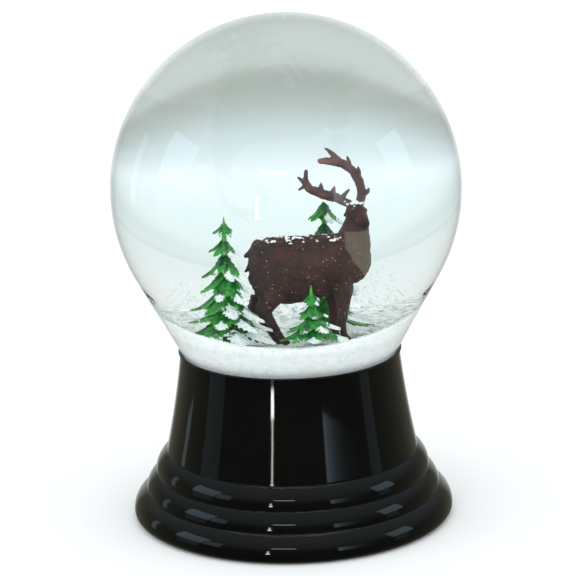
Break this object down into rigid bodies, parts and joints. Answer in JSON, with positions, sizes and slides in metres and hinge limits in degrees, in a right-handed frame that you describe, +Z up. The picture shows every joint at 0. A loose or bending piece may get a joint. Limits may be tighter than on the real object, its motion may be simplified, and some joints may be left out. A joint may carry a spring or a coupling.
{
  "type": "snow globe",
  "caption": "Sealed glass snow globe with a tapered shoulder on a stepped black base, holding a deer and firs in white snow.",
  "frame": {"origin": "centre of the base's underside, where it meets the table", "axes": "+Z up through the middle of the globe, +X to the deer's chest, -Y to the side seen from the front"},
  "size_m": [0.08, 0.08, 0.1174],
  "materials": {
    "black_gloss": "high-gloss black moulding",
    "gasket_rubber": "soft matt rubber",
    "sealant": "black silicone, smooth",
    "plaster": "cast plaster, matt and chalky",
    "board": "pressed fibre board",
    "felt": "dark felt, short nap",
    "clear_glass": "clear blown glass, polished",
    "water": "clear liquid",
    "stopper_rubber": "moulded rubber, matt",
    "seal_rubber": "smooth rubber ring",
    "cap_plastic": "plain white moulding",
    "plinth_plastic": "plain white moulding",
    "snow": "fine white granules, satin",
    "flakes": "thin white flakes",
    "deer_paint": "painted moulding, brown with a taupe chest",
    "antler_paint": "painted moulding, brown",
    "fir_plastic": "translucent green moulding, tips frosted white"
  },
  "bodies": {
    "root": {"base_shell": "black_gloss", "seat_gasket": "gasket_rubber", "rim_sealant": "sealant", "plaster_fill": "plaster", "bottom_board": "board", "felt_pad": "felt", "glass_globe": "clear_glass", "water_fill": "water", "neck_stopper": "stopper_rubber", "neck_seal_rings": "seal_rubber", "stopper_cap": "cap_plastic", "scene_plinth": "plinth_plastic", "snow_crust": "snow", "snow_drift": "snow", "loose_flakes": "flakes", "deer_body": "deer_paint", "deer_antler_left": "antler_paint", "deer_antler_right": "antler_paint", "fir_tall_stem": "fir_plastic", "fir_tall_whorl_1": "fir_plastic", "fir_tall_whorl_2": "fir_plastic", "fir_tall_whorl_3": "fir_plastic", "fir_tall_whorl_4": "fir_plastic", "fir_tall_whorl_5": "fir_plastic", "fir_tall_whorl_6": "fir_plastic", "fir_tall_whorl_7": "fir_plastic", "fir_rear_stem": "fir_plastic", "fir_rear_whorl_1": "fir_plastic", "fir_rear_whorl_2": "fir_plastic", "fir_rear_whorl_3": "fir_plastic", "fir_rear_whorl_4": "fir_plastic", "fir_rear_whorl_5": "fir_plastic", "fir_rear_whorl_6": "fir_plastic", "fir_front_stem": "fir_plastic", "fir_front_whorl_1": "fir_plastic", "fir_front_whorl_2": "fir_plastic", "fir_front_whorl_3": "fir_plastic", "fir_front_whorl_4": "fir_plastic"}
  },
  "joints": []
}
